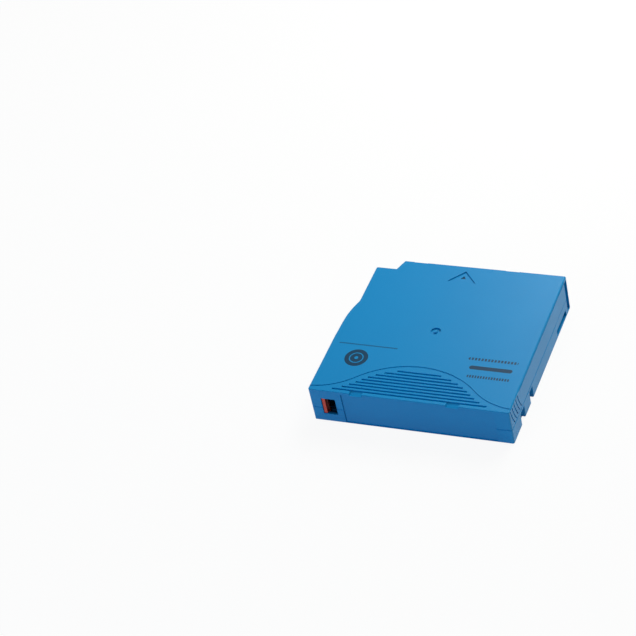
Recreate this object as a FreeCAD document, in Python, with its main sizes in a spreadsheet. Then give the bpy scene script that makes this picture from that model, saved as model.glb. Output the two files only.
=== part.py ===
import FreeCAD, Part

# Single-reel data tape cartridge. The case lies flat: +Z up, +Y the way it goes into a
# drive, +X to its right. The origin is the middle of the underside.

import math
import os
import re
from types import SimpleNamespace

import Sketcher
from FreeCAD import Placement, Rotation, Vector

# ---------------------------------------------------------------- driving dimensions

SIZES = {
    # case
    "case_width": (105.4, "left to right"),
    "case_depth": (102.0, "label face to insertion face"),
    "wall": (1.7, "side walls"),
    "plate": (1.7, "top and bottom plates"),
    "seam_height": (9.2, "parting line of the two shells"),
    "edge_chamfer": (0.5, "outer edges of the plates"),
    "corner_radius": (0.9, "upright corners"),
    # cut-back left side that bares the door
    "door_inset": (3.8, "left side set in from the full width"),
    "bay_start": (32.7, "insertion face to the start of the cut-back"),
    "blend_radius": (8.0, "hollow blend at the cut-back"),
    "blend_angle": (20.0, "steepest lean of the shoulder, degrees"),
    "lean": (0.4, "drift of the long taper behind the shoulder"),
    "lean_angle": (1.9, "lean of that taper, degrees"),
    "notch_depth": (6.9, "corner notch, along Y"),
    "notch_width": (11.1, "corner notch, along X from the cut-back side"),
    "notch_slant": (2.6, "slanted flank of the notch"),
    # label face
    "label_left": (17.1, "left side to the label recess"),
    "label_right": (8.2, "right side to the label recess"),
    "label_low": (0.7, "foot of the label recess"),
    "label_rim": (1.8, "top of the case to the recess"),
    "label_depth": (0.5, "depth of the label recess"),
    "window_left": (5.8, "left side to the write-protect window"),
    "window_width": (7.7, "write-protect window"),
    "window_low": (5.2, "foot of the window"),
    "window_rise": (10.4, "height of the window"),
    # skirt of the upper shell and hollows low on the right side
    "skirt_start": (24.2, "insertion face to the skirt"),
    "skirt_low": (4.8, "lower edge of the skirt"),
    "recess_length": (16.8, "hollow under the skirt"),
    "hollow_depth": (2.4, "how far that hollow goes in"),
    "sill": (1.2, "plate under the hollow and under the corner recess"),
    "hand_notch_depth": (2.0, "handling notches"),
    "hand_notch_top": (7.6, "top of the handling notches"),
    "rear_notch_start": (13.5, "label face to the rear handling notch"),
    "rear_notch_length": (6.3, "rear handling notch"),
    "front_notch_start": (29.0, "label face to the front handling notch"),
    "front_notch_length": (5.0, "front handling notch"),
    "corner_recess_start": (4.6, "insertion face to the recess in the right corner"),
    "corner_recess_depth": (2.0, "how far that recess goes in"),
    "corner_fin": (0.9, "fin between that recess and the insertion face"),
    "rim": (0.6, "rim of the top plate above the groove in the right side"),
    "rim_groove": (0.7, "height of that groove"),
    "rim_groove_depth": (0.4, "depth of that groove"),
    "seam_bevel": (0.35, "outer edges along the parting line"),
    "rib_count": (5, "finger slots in each side"),
    "rib_pitch": (2.9, "finger slots"),
    "rib_first": (1.6, "label face to the first finger slot"),
    "rib_width": (0.8, "finger slots"),
    "rib_depth": (0.4, "finger slots"),
    "rib_low": (10.4, "foot of the finger slots"),
    "rib_top": (0.9, "top of the case to the finger slots"),
    "rib_slant": (3.6, "foot of a slot beyond its top, along Y"),
    "rib_bow": (0.5, "how far a slot bows from a straight line"),
    # relief on top
    "bell_depth": (0.3, "step of the bell-shaped field"),
    "bell_radius": (46.0, "crown of the bell"),
    "bell_apex": (24.4, "label face to the crown"),
    "bell_flare": (34.5, "flared foot of the bell"),
    "bell_foot": (2.7, "label face to the foot of the bell"),
    "groove_count": (9, "finger grooves"),
    "groove_pitch": (2.15, "finger grooves"),
    "groove_first": (2.4, "label face to the first groove"),
    "groove_width": (1.3, "finger grooves"),
    "groove_depth": (0.7, "finger grooves"),
    "groove_steep": (0.2, "run of the steep flank of a groove"),
    "groove_margin": (3.2, "groove ends to the bell line"),
    "rest_width": (6.8, "sloped rests at the label edge"),
    "rest_length": (3.0, "sloped rests, along Y"),
    "rest_depth": (0.6, "sloped rests at the inner end"),
    "rest_drop": (1.7, "sloped rests at the label face"),
    "rest_spacing": (50.7, "between the middles of the rests"),
    "rest_shift": (-1.9, "middle of the pair of rests, along X"),
    "arrow_length": (8.5, "insertion arrow"),
    "arrow_width": (15.2, "insertion arrow"),
    "arrow_margin": (4.0, "insertion face to the tip"),
    "arrow_depth": (0.6, "depth at the tip"),
    "nick_width": (7.6, "nicks in the insertion edge"),
    "nick_depth": (0.7, "nicks in the insertion edge"),
    "nick_spacing": (50.2, "between the nicks"),
    "arrow_foot": (0.45, "depth at the foot of the arrow"),
    "arrow_mark": (2.8, "small triangle in the arrow"),
    "arrow_mark_depth": (0.3, "small triangle in the arrow"),
    "arrow_mark_foot": (3.06, "foot of the arrow to the small triangle"),
    "arrow_mark_rise": (2.1, "length of the small triangle"),
    "gate_x": (-1.5, "middle of the moulding gate well"),
    "gate_radius": (2.6, "moulding gate well"),
    "gate_nub": (0.9, "stub in the gate well"),
    "gate_depth": (0.7, "moulding gate well"),
    # screws
    "screw_inset_x": (5.4, "side to a screw"),
    "screw_inset_y": (5.8, "end to a screw"),
    "screw_shift": (16.6, "inward shift of the one beside the pin"),
    "screw_back": (3.6, "shift of the one behind the slider"),
    "boss_radius": (2.9, "screw bosses"),
    "screw_radius": (1.1, "screw shank"),
    "screw_head": (2.1, "screw head radius"),
    "screw_head_height": (1.3, "screw head"),
    "screw_length": (12.0, "screw shank"),
    "screw_sink": (0.5, "head below the underside"),
    "screw_bevel": (0.4, "edge of the screw head"),
    "screw_point": (1.2, "tapered end of the shank"),
    "screw_cross": (2.4, "cross recess in the head"),
    "screw_slot": (0.5, "width of the slots of that cross"),
    "pilot_gap": (0.05, "shank in its boss"),
    "screw_gap": (0.15, "shank in the lower shell"),
    "head_gap": (0.2, "head in its well"),
    # access door
    "lip": (0.5, "edge of the plates outside the door track"),
    "door_thickness": (1.0, "door"),
    "door_gap": (0.1, "door in its track"),
    "track_depth": (0.6, "door track in each plate"),
    "door_overlap": (6.3, "door behind the shoulder when shut"),
    "door_travel": (20.0, "sliding travel"),
    "tab_reach": (1.7, "tab out of the door"),
    "tab_length": (1.4, "tab, along Y"),
    "tab_height": (6.0, "tab"),
    # door spring
    "door_spring_radius": (0.85, "mean radius of the coil"),
    "door_wire": (0.3, "wire"),
    "door_coils": (15, "turns"),
    "door_spring_seat": (21.0, "label face to the seat of the door spring"),
    "wire_sides": (8, "flats that stand for the round wire of a spring"),
    "guide_radius": (0.5, "guide pins in the spring"),
    "guide_length": (5.5, "guide pins in the spring"),
    "spring_ear": (1.2, "end of the door that the spring pushes on"),
    "seat_margin": (0.6, "seat beyond the spring, towards the outside"),
    # leader pin
    "pin_inset_x": (5.4, "door side to the pin"),
    "pin_inset_y": (11.1, "notch edge to the pin"),
    "pin_radius": (1.1, "shaft"),
    "pin_tip_radius": (1.3, "ends"),
    "pin_collar_radius": (1.9, "collars"),
    "pin_collar": (0.8, "collar thickness"),
    "pin_tip_length": (1.3, "ends beyond the collars"),
    "pin_gap": (0.15, "ends in their seats"),
    "seat_rim": (1.5, "wall of the pin seats"),
    "seat_height": (0.7, "pin seats"),
    "clip_wall": (0.5, "film clip on the pin"),
    "clip_gap": (0.05, "clip on the shaft"),
    "strip": (0.3, "steel strip of the pin spring"),
    "strip_back": (3.3, "middle of the pin to the back of the strip"),
    "strip_length": (5.0, "back of the strip, along Y"),
    "tongue": (0.5, "width of its tongues"),
    "tongue_bend": (0.6, "kick-up at the end of a tongue"),
    "film": (0.2, "leader film"),
    # reel
    "tape_width": (12.65, "tape"),
    "tape_gap": (0.1, "tape to each flange"),
    "flange": (1.2, "reel flanges"),
    "reel_float_low": (1.3, "bottom plate to the lower flange"),
    "reel_float_high": (1.55, "upper flange to the top plate"),
    "reel_gap": (1.1, "flange rim to the door and the wall"),
    "pack_margin": (1.5, "flange rim to the tape"),
    "hub_radius": (22.0, "tape winds on this"),
    "hub_wall": (2.4, "hub"),
    "ring_wall": (1.1, "metal ring in the hub"),
    "ring_gap": (0.05, "metal ring in the hub"),
    "web": (1.6, "hub web"),
    "spindle_radius": (18.0, "opening for the drive spindle"),
    "rim_overlap": (0.5, "hub rim beyond the opening"),
    "rim_gap": (0.1, "hub rim over the bottom plate"),
    "web_bore": (3.0, "middle of the web"),
    "drive_teeth": (36, "face teeth under the web"),
    "drive_teeth_in": (14.5, "inner radius"),
    "drive_teeth_out": (17.5, "outer radius"),
    "drive_tooth": (1.2, "tooth height"),
    "clutch_in": (4.5, "clutch plate bore radius"),
    "clutch_out": (13.6, "clutch plate radius"),
    "clutch_plate_thickness": (0.9, "clutch plate"),
    # brake
    "brake_teeth": (36, "teeth of the brake, a multiple of 12"),
    "brake_in": (9.4, "inner radius of the brake teeth"),
    "brake_out": (12.4, "outer radius of the brake teeth"),
    "brake_tooth": (1.2, "tooth height"),
    "tooth_gap": (0.2, "tooth tips to the far root"),
    "brake_disc": (13.2, "brake disc radius"),
    "brake_plate": (2.0, "brake disc thickness"),
    "brake_lift": (1.5, "travel of the brake"),
    "socket_radius": (5.2, "sleeve on the brake"),
    "socket_height": (6.6, "sleeve on the brake"),
    "key_span": (6.6, "cross key on the top plate"),
    "key_rib": (1.6, "cross key rib"),
    "key_gap": (0.2, "cross key in the sleeve"),
    "key_reach": (4.6, "cross key in the sleeve, along Z"),
    "brake_spring_radius": (6.6, "mean radius of the coil"),
    "brake_wire": (0.8, "wire"),
    "brake_coils": (5, "turns"),
    "spider_radius": (7.8, "middle of the release spider"),
    "spider_plate": (0.8, "thickness"),
    "spider_gap": (0.1, "spider in the web and under the brake"),
    "spider_arm": (3.0, "width of an arm"),
    "foot_length": (2.0, "feet of the spider"),
    # write-protect slider
    "slider_width": (3.4, "slider"),
    "slider_thickness": (1.2, "slider"),
    "slider_gap": (0.2, "slider in its rails"),
    "slider_margin": (0.6, "slider above and below the window"),
    "slider_overlap": (0.7, "slider beyond the window's left edge"),
    "slider_travel": (5.6, "sliding travel"),
    "thumb_width": (1.6, "upstand of the slider"),
    "thumb_inset": (0.3, "window's left edge to the upstand"),
    "rail": (1.2, "rails and stops of the slider"),
    # memory
    "board_length": (18.0, "memory board"),
    "board_height": (11.0, "memory board"),
    "board_thickness": (0.8, "memory board"),
    "board_inset": (10.3, "right side and label face to the middle of the board"),
    "chip_size": (4.6, "chip"),
    "chip_height": (0.6, "chip"),
}

doc = FreeCAD.newDocument("tape_cartridge")
sheet = doc.addObject("Spreadsheet::Sheet", "sizes")
for row, (alias, (number, note)) in enumerate(SIZES.items(), start=1):
    sheet.set("A%d" % row, alias)
    sheet.set("B%d" % row, str(number))
    sheet.set("C%d" % row, note)
    sheet.setAlias("B%d" % row, alias)
doc.recompute()
s = SimpleNamespace(**{alias: float(sheet.get(alias)) for alias in SIZES})


def bound(text):
    """The expression with each named size turned into a reference to the sheet."""
    return re.sub(r"[a-z_]+", lambda word: "sizes." + word[0] if word[0] in SIZES else word[0], text)


# ---------------------------------------------------------------- places that follow

LEFT, RIGHT = "-case_width / 2", "case_width / 2"
LABEL, FRONT = "-case_depth / 2", "case_depth / 2"
FLANGES = "(tape_width + 2 * tape_gap + 2 * flange)"
HEIGHT = "(2 * plate + reel_float_low + reel_float_high + %s)" % FLANGES
ROOF = "(%s - plate)" % HEIGHT
BAY = "(-case_width / 2 + door_inset)"
TRACK_IN = "(%s + lip + door_thickness + 2 * door_gap)" % BAY
WEB_LOW = "(plate + reel_float_low)"
WEB_TOP = "(plate + reel_float_low + web)"
BRAKE_LOW = "(%s + tooth_gap + brake_tooth)" % WEB_TOP
NOTCH_EDGE = "(case_depth / 2 - notch_depth)"
DOOR_REAR = "(case_depth / 2 - bay_start - door_overlap)"
SPRING_SEAT = "(-case_depth / 2 + door_spring_seat)"
SKIRT = "(case_depth / 2 - skirt_start)"
CORNER = "(case_depth / 2 - corner_recess_start)"

left, right = -s.case_width / 2, s.case_width / 2
label, front = -s.case_depth / 2, s.case_depth / 2
flange_low = s.plate + s.reel_float_low
tape_low = flange_low + s.flange
flange_high = tape_low + s.tape_width + 2 * s.tape_gap
roof = flange_high + s.flange + s.reel_float_high
height = roof + s.plate
bay = left + s.door_inset
bay_start = front - s.bay_start
notch_edge = front - s.notch_depth
track_in = bay + s.lip + s.door_thickness + 2 * s.door_gap
web_top = flange_low + s.web
brake_low = web_top + s.tooth_gap + s.brake_tooth
brake_top = brake_low + s.brake_plate

reel_x = (track_in + right - s.wall) / 2
flange_radius = min((right - s.wall - track_in) / 2, s.case_depth / 2 - s.wall) - s.reel_gap
pack_radius = flange_radius - s.pack_margin
reel_place = Placement(Vector(reel_x, 0, 0), Rotation())
half_tooth = Placement(Vector(reel_x, 0, 0), Rotation(Vector(0, 0, 1), 180 / s.brake_teeth))

pin_x = bay + s.pin_inset_x
pin_y = notch_edge - s.pin_inset_y

screw_places = [
    (left + s.screw_inset_x, label + s.screw_inset_y + s.screw_back),
    (right - s.screw_inset_x, label + s.screw_inset_y),
    (right - s.screw_inset_x, front - s.screw_inset_y),
    (left + s.screw_inset_x + s.screw_shift, front - s.screw_inset_y),
]

# ---------------------------------------------------------------- modelling helpers

nodes = []


def new_body(name):
    """An empty body whose label names its file."""
    body = doc.addObject("PartDesign::Body", name)
    nodes.append(body)
    return body


def sketch_on(body, name, plane="XY", offset="0"):
    """A sketch on one of the body's origin planes, moved along the plane's normal."""
    sketch = body.newObject("Sketcher::SketchObject", name)
    role = plane + "_Plane"
    base = [item for item in body.Origin.OriginFeatures if item.Role == role][0]
    sketch.AttachmentSupport = [(base, "")]
    sketch.MapMode = "FlatFace"
    sketch.setExpression("AttachmentOffset.Base.z", bound(offset))
    return sketch


def bind(sketch, kind, ends, text):
    """One dimension of the sketch, driven by an expression."""
    number = sketch.addConstraint(Sketcher.Constraint(kind, *ends, 5.0))
    sketch.setExpression("Constraints[%d]" % number, bound(text))


def rectangle(sketch, x_low, x_high, y_low, y_high):
    """A rectangle whose sides are driven by expressions."""
    first = sketch.GeometryCount
    corners = [Vector(0, 0, 0), Vector(9, 0, 0), Vector(9, 9, 0), Vector(0, 9, 0)]
    for side in range(4):
        sketch.addGeometry(Part.LineSegment(corners[side], corners[(side + 1) % 4]), False)
    for side in range(4):
        sketch.addConstraint(Sketcher.Constraint("Coincident", first + side, 2, first + (side + 1) % 4, 1))
        kind = "Horizontal" if side % 2 == 0 else "Vertical"
        sketch.addConstraint(Sketcher.Constraint(kind, first + side))
    bind(sketch, "DistanceX", (-1, 1, first, 1), x_low)
    bind(sketch, "DistanceY", (-1, 1, first, 1), y_low)
    bind(sketch, "DistanceX", (-1, 1, first + 2, 1), x_high)
    bind(sketch, "DistanceY", (-1, 1, first + 2, 1), y_high)


def circle(sketch, x, y, radius):
    """A circle whose centre is a point and whose radius is driven by an expression."""
    number = sketch.addGeometry(Part.Circle(Vector(x, y, 0), Vector(0, 0, 1), 2.0), False)
    bind(sketch, "Radius", (number,), radius)
    return number


def outline(sketch, points):
    """A closed outline: a point is (x, y), and (x, y, via x, via y) is reached by an arc."""
    for number, point in enumerate(points):
        start = Vector(*points[number - 1][:2], 0)
        end = Vector(*point[:2], 0)
        if len(point) == 4:
            sketch.addGeometry(Part.Arc(start, Vector(point[2], point[3], 0), end), False)
        else:
            sketch.addGeometry(Part.LineSegment(start, end), False)


def pad(body, sketch, length, reverse=False):
    """Material from the sketch, along its normal."""
    feature = body.newObject("PartDesign::Pad", sketch.Name + "_pad")
    feature.Profile = sketch
    feature.setExpression("Length", bound(length))
    feature.Reversed = reverse
    sketch.Visibility = False
    return feature


def pocket(body, sketch, length, reverse=False):
    """A cut from the sketch against its normal, or along it when reversed."""
    feature = body.newObject("PartDesign::Pocket", sketch.Name + "_cut")
    feature.Profile = sketch
    feature.setExpression("Length", bound(length))
    feature.Reversed = reverse
    sketch.Visibility = False
    return feature


def revolve(body, sketch):
    """The profile turned about the sketch's own upright axis."""
    feature = body.newObject("PartDesign::Revolution", sketch.Name + "_turn")
    feature.Profile = sketch
    feature.ReferenceAxis = (sketch, ["V_Axis"])
    feature.Angle = 360
    return feature


def ring_of(body, feature, count):
    """The feature repeated round the body's Z axis; count is a number or an expression."""
    axis = [item for item in body.Origin.OriginFeatures if item.Role == "Z_Axis"][0]
    pattern = body.newObject("PartDesign::PolarPattern", feature.Name + "_ring")
    pattern.Originals = [feature]
    pattern.Axis = (axis, [""])
    pattern.Angle = 360
    pattern.setExpression("Occurrences", bound(count))
    body.Tip = pattern
    return pattern


def block(body, name, x_low, x_high, y_low, y_high, low, rise, cut=False):
    """An upright block added to the body, or cut from it, between expressions."""
    offset = "%s + %s" % (low, rise) if cut else low
    sketch = sketch_on(body, name, "XY", offset)
    rectangle(sketch, x_low, x_high, y_low, y_high)
    return pocket(body, sketch, rise) if cut else pad(body, sketch, rise)


# ---------------------------------------------------------------- case shells

def shoulder(inset):
    """The left side from the cut-back to the full width, as outline points downwards."""
    steep, gentle = math.radians(s.blend_angle), math.radians(s.lean_angle)
    run = s.door_inset - s.lean - s.blend_radius * (1 - math.cos(steep))
    hollow = s.blend_radius + inset
    rounded = run / (math.cos(gentle) - math.cos(steep)) - inset
    hollow_x = bay - s.blend_radius
    rounded_x = hollow_x + (hollow + rounded) * math.cos(steep)
    rounded_y = bay_start - (hollow + rounded) * math.sin(steep)

    def on_hollow(angle):
        return (hollow_x + hollow * math.cos(angle), bay_start - hollow * math.sin(angle))

    def on_rounded(angle):
        return (rounded_x - rounded * math.cos(angle), rounded_y + rounded * math.sin(angle))

    end = on_rounded(gentle)
    return [
        on_hollow(0),
        on_hollow(steep) + on_hollow(steep / 2),
        end + on_rounded((steep + gentle) / 2),
        (left + inset, end[1] - (end[0] - left - inset) / math.tan(gentle)),
    ]


def case_outline(sketch, inset=0):
    """Plan of the case, or of its hollow, from the label corner round to the right."""
    flank = math.hypot(s.notch_depth, s.notch_slant) / s.notch_depth
    foot = bay + s.notch_width + inset * (flank - s.notch_slant / s.notch_depth)
    top = foot + s.notch_slant
    outline(sketch, [
        (left + inset, label + inset), (right - inset, label + inset), (right - inset, front - inset),
        (top, front - inset), (foot, notch_edge - inset), (bay + inset, notch_edge - inset),
    ] + shoulder(inset))


def upright_edges(shape, places):
    """Names of the upright edges that stand at the given places in plan."""
    found = []
    for number, edge in enumerate(shape.Edges, start=1):
        ends = [vertex.Point for vertex in edge.Vertexes]
        if len(ends) == 2 and abs(ends[0].z - ends[1].z) > 1:
            for x, y in places:
                if all(abs(end.x - x) < 0.01 and abs(end.y - y) < 0.01 for end in ends):
                    found.append("Edge%d" % number)
    return found


def flat_face(shape, level):
    """Name of the level face at this height."""
    for number, face in enumerate(shape.Faces, start=1):
        if abs(face.BoundBox.ZMin - level) < 0.001 and abs(face.BoundBox.ZMax - level) < 0.001:
            return "Face%d" % number
    raise RuntimeError("no face at %.3f" % level)


def shell(body, low, rise, closed_level, hollow_low):
    """The case outline as a tray: rounded corners, bevelled plate edge and seam, and hollow."""
    plan = sketch_on(body, body.Name + "_plan", "XY", low)
    case_outline(plan)
    solid = pad(body, plan, rise)
    doc.recompute()
    corners = body.newObject("PartDesign::Fillet", body.Name + "_corners")
    places = [(left, label), (right, label), (right, front), (bay, notch_edge)]
    corners.Base = (solid, upright_edges(solid.Shape, places))
    corners.setExpression("Radius", bound("corner_radius"))
    doc.recompute()
    edge = body.newObject("PartDesign::Chamfer", body.Name + "_edge")
    edge.Base = (corners, [flat_face(corners.Shape, closed_level)])
    edge.setExpression("Size", bound("edge_chamfer"))
    doc.recompute()
    seam = body.newObject("PartDesign::Chamfer", body.Name + "_seam")
    seam.Base = (edge, [flat_face(edge.Shape, s.seam_height)])
    seam.setExpression("Size", bound("seam_bevel"))
    inside = sketch_on(body, body.Name + "_inside", "XY", hollow_low)
    case_outline(inside, s.wall)
    pocket(body, inside, "%s - plate" % rise, reverse=True)


def shared_cuts(body):
    """What both shells have: label recess, window, door track, spring channel, corner recess."""
    recess = (LEFT + " + label_left", RIGHT + " - label_right")
    block(body, body.Name + "_label", *recess, LABEL + " - 1", LABEL + " + label_depth",
          "label_low", HEIGHT + " - label_low - label_rim", cut=True)
    block(body, body.Name + "_window", LEFT + " + window_left", LEFT + " + window_left + window_width",
          LABEL + " - 1", LABEL + " + wall + 1", "window_low", "window_rise", cut=True)
    block(body, body.Name + "_track", BAY + " + lip", TRACK_IN,
          "case_depth / 2 - bay_start - door_overlap - door_travel - 1", NOTCH_EDGE + " + 1",
          "plate - track_depth", ROOF + " - plate + 2 * track_depth", cut=True)
    block(body, body.Name + "_opening", BAY + " - 1", BAY + " + lip + 0.1",
          "case_depth / 2 - bay_start", NOTCH_EDGE + " + 1", "plate", ROOF + " - plate", cut=True)
    ear = "(door_spring_radius + door_wire / 2 + 2 * door_gap)"
    middle = "(%s + lip + door_gap + door_thickness / 2)" % BAY
    block(body, body.Name + "_spring", middle + " - " + ear, TRACK_IN, SPRING_SEAT, DOOR_REAR + " + 1.5",
          "%s / 2 - %s" % (HEIGHT, ear), "2 * " + ear, cut=True)
    block(body, body.Name + "_corner", RIGHT + " - corner_recess_depth", RIGHT + " + 1",
          CORNER, FRONT + " - corner_fin", "sill", ROOF + " + 0.1 - sill", cut=True)


def finger_slots(sketch):
    """Slanted, slightly bowed slots near the label face, as outline points along Y and Z."""
    top = height - s.rib_top
    half = s.rib_width / 2
    for number in range(int(s.rib_count)):
        at_top = label + s.rib_first + number * s.rib_pitch
        at_foot = at_top + s.rib_slant
        middle = (at_top + at_foot) / 2 - s.rib_bow
        level = (top + s.rib_low) / 2
        outline(sketch, [
            (at_top - half, top, middle - half, level), (at_top + half, top),
            (at_foot + half, s.rib_low, middle + half, level), (at_foot - half, s.rib_low),
        ])


def screw_bosses(body, low, rise):
    """A round boss at each screw."""
    bosses = sketch_on(body, body.Name + "_bosses", "XY", low)
    for x, y in screw_places:
        circle(bosses, x, y, "boss_radius")
    pad(body, bosses, rise)


def pin_seat(body, name, low):
    """A U-shaped rim that holds one end of the leader pin, open towards the door."""
    inner = s.pin_tip_radius + s.pin_gap
    outer = inner + s.seat_rim
    sketch = sketch_on(body, name, "XY", low)
    outline(sketch, [
        (pin_x, pin_y - outer), (pin_x, pin_y + outer, pin_x + outer, pin_y),
        (pin_x, pin_y + inner), (pin_x, pin_y - inner, pin_x + inner, pin_y),
    ])
    pad(body, sketch, "seat_height")


def slider_rails(body, upper):
    """A shelf behind the label wall with a lip that holds the slider; below, its stops as well."""
    slider_left = "(%s + window_left - slider_overlap)" % LEFT
    ends = ("%s - slider_gap - rail" % slider_left,
            "%s + slider_width + slider_travel + slider_gap + rail" % slider_left)
    front_face, back = LABEL + " + wall - 0.1", LABEL + " + wall + slider_thickness + 2 * slider_gap"
    if upper:
        shelf = "(window_low + window_rise + slider_margin + slider_gap)"
        block(body, "upper_shelf", *ends, front_face, back + " + rail", shelf, "%s - %s" % (ROOF, shelf))
        block(body, "upper_lip", *ends, back, back + " + rail", shelf + " - rail", "rail")
        return
    shelf = "(window_low - slider_margin - slider_gap)"
    block(body, "lower_shelf", *ends, front_face, back + " + rail", "plate", shelf + " - plate")
    block(body, "lower_lip", *ends, back, back + " + rail", shelf, "rail")
    stops = {"left": (ends[0], ends[0] + " + rail"), "right": (ends[1] + " - rail", ends[1])}
    for name, sides in stops.items():
        block(body, "stop_" + name, *sides, front_face, back + " + 0.1",
              shelf, "seam_height - " + shelf)


def upper_case():
    """Upper shell: top plate, walls down to the seam, label panel and right-hand skirt."""
    body = new_body("upper_case")
    shell(body, "seam_height", HEIGHT + " - seam_height", height, "seam_height")
    block(body, "label_panel", LEFT + " + label_left", RIGHT + " - label_right",
          LABEL + " + label_depth", LABEL + " + wall", "label_low", "seam_height - label_low")
    block(body, "skirt", RIGHT + " - wall", RIGHT, SKIRT, CORNER, "skirt_low", "seam_height - skirt_low")
    block(body, "corner_backing", RIGHT + " - corner_recess_depth - wall", RIGHT + " - wall + 0.01",
          CORNER + " - wall", FRONT + " - wall + 0.1", "seam_height", ROOF + " - seam_height")
    screw_bosses(body, "seam_height", ROOF + " - seam_height")
    pin_seat(body, "upper_seat", ROOF + " - seat_height")
    slider_rails(body, upper=True)
    key = sketch_on(body, "brake_key", "XY", "%s + brake_plate + socket_height - key_reach" % BRAKE_LOW)
    outline(key, cross(reel_x, 0, s.key_span, s.key_rib))
    pad(body, key, "%s - (%s + brake_plate + socket_height - key_reach)" % (ROOF, BRAKE_LOW))
    shared_cuts(body)
    block(body, "rim_groove", RIGHT + " - rim_groove_depth", RIGHT + " + 1",
          LABEL + " + rib_first + rib_count * rib_pitch", CORNER + " + 0.1",
          HEIGHT + " - rim - rim_groove", "rim_groove", cut=True)
    for side, from_left in ((RIGHT, False), (LEFT, True)):
        slots = sketch_on(body, "slots_left" if from_left else "slots_right", "YZ", side)
        finger_slots(slots)
        pocket(body, slots, "rib_depth", reverse=from_left)
    for number, (x, y) in enumerate(screw_places):
        hole = sketch_on(body, "pilot_%d" % number, "XY", "seam_height - 0.1")
        circle(hole, x, y, "screw_radius + pilot_gap")
        pocket(body, hole, "screw_length + screw_sink + screw_head_height - seam_height + 1", reverse=True)
    top_relief(body)


def cross(x, y, span, rib):
    """Outline points of an upright cross about a point."""
    arm, half = span / 2, rib / 2
    corner = [(arm, half), (half, half), (half, arm)]
    points = []
    for turn in range(4):
        angle = math.radians(90 * turn)
        for a, b in corner:
            points.append((x + a * math.cos(angle) - b * math.sin(angle),
                           y + a * math.sin(angle) + b * math.cos(angle)))
    return points


def top_relief(body):
    """The moulded relief of the top plate."""
    bell_low = label + s.bell_apex - s.bell_radius
    foot_y = label + s.bell_foot + s.bell_flare
    span = s.bell_radius + s.bell_flare
    foot_x = math.sqrt(span ** 2 - (foot_y - bell_low) ** 2)
    join_x = foot_x * s.bell_radius / span
    join_y = bell_low + (foot_y - bell_low) * s.bell_radius / span
    field = sketch_on(body, "bell", "XY", HEIGHT)
    edge_angle = math.atan2(join_y - foot_y, join_x - foot_x)
    end_angle = -math.pi / 2
    middle = (edge_angle - math.pi * 2 * (edge_angle > 0) + end_angle) / 2
    via = (foot_x + s.bell_flare * math.cos(middle), foot_y + s.bell_flare * math.sin(middle))
    low = foot_y - s.bell_flare
    outline(field, [
        (-right - 9, label - 1), (right + 9, label - 1), (right + 9, low), (foot_x, low),
        (join_x, join_y) + via, (-join_x, join_y, 0, label + s.bell_apex),
        (-foot_x, low, -via[0], via[1]), (-right - 9, low),
    ])
    pocket(body, field, "bell_depth")

    for number in range(int(s.groove_count)):
        y = label + s.groove_first + number * s.groove_pitch
        crown = s.bell_radius - s.groove_margin
        flare = s.bell_flare + s.groove_margin
        if y > bell_low + (foot_y - bell_low) * crown / span:
            half = math.sqrt(max(crown ** 2 - (y - bell_low) ** 2, 1))
        else:
            half = foot_x - math.sqrt(max(flare ** 2 - (y - foot_y) ** 2, 0))
        groove = sketch_on(body, "groove_%d" % number, "YZ", "%.4f" % half)
        top = height - s.bell_depth
        front_lip, rear_lip = y - s.groove_width / 2, y + s.groove_width / 2
        outline(groove, [(front_lip, top), (rear_lip - s.groove_steep, top - s.groove_depth),
                         (rear_lip, top), (rear_lip, height + 1), (front_lip, height + 1)])
        pocket(body, groove, "%.4f" % (2 * half))

    fall = (s.rest_drop - s.bell_depth - s.rest_depth) / s.rest_length
    for side in (-1, 1):
        middle_x = s.rest_shift + side * s.rest_spacing / 2
        rest = sketch_on(body, "rest_%d" % (side + 1), "YZ", "%.4f + rest_width / 2" % middle_x)
        outline(rest, [(label - 1, height + 1), (label - 1, height - s.rest_drop - fall),
                       (label + s.rest_length, height - s.bell_depth - s.rest_depth),
                       (label + s.rest_length, height + 1)])
        pocket(body, rest, "rest_width")
        nick_x = s.rest_shift / 2 + side * s.nick_spacing / 2
        nick = sketch_on(body, "nick_%d" % (side + 1), "YZ", "%.4f + nick_width / 2" % nick_x)
        back = front - s.nick_depth
        outline(nick, [(front + 1, height + 1), (back, height + 1),
                       (back, height - s.nick_depth), (front + 1, height - 3 * s.nick_depth)])
        pocket(body, nick, "nick_width")

    foot = front - s.arrow_margin - s.arrow_length
    slope = math.degrees(math.atan2(s.arrow_depth - s.arrow_foot, s.arrow_length))
    floor = Placement(Vector(0, foot, height - s.arrow_foot), Rotation(Vector(1, 0, 0), -slope))
    arrow, mark = sketch_on(body, "arrow"), sketch_on(body, "arrow_mark")
    for sketch in (arrow, mark):
        sketch.setExpression("AttachmentOffset.Base.z", None)
        sketch.AttachmentOffset = floor
    outline(arrow, [(-s.arrow_width / 2, 0), (s.arrow_width / 2, 0), (0, s.arrow_length)])
    pocket(body, arrow, "2 * arrow_depth", reverse=True)
    mark_foot, half = s.arrow_mark_foot, s.arrow_mark / 2
    outline(mark, [(-half, mark_foot), (half, mark_foot), (0, mark_foot + s.arrow_mark_rise)])
    pocket(body, mark, "arrow_mark_depth")

    gate = sketch_on(body, "gate_well", "XY", HEIGHT)
    circle(gate, s.gate_x, 0, "gate_radius")
    circle(gate, s.gate_x, 0, "gate_nub")
    pocket(body, gate, "gate_depth")


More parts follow.
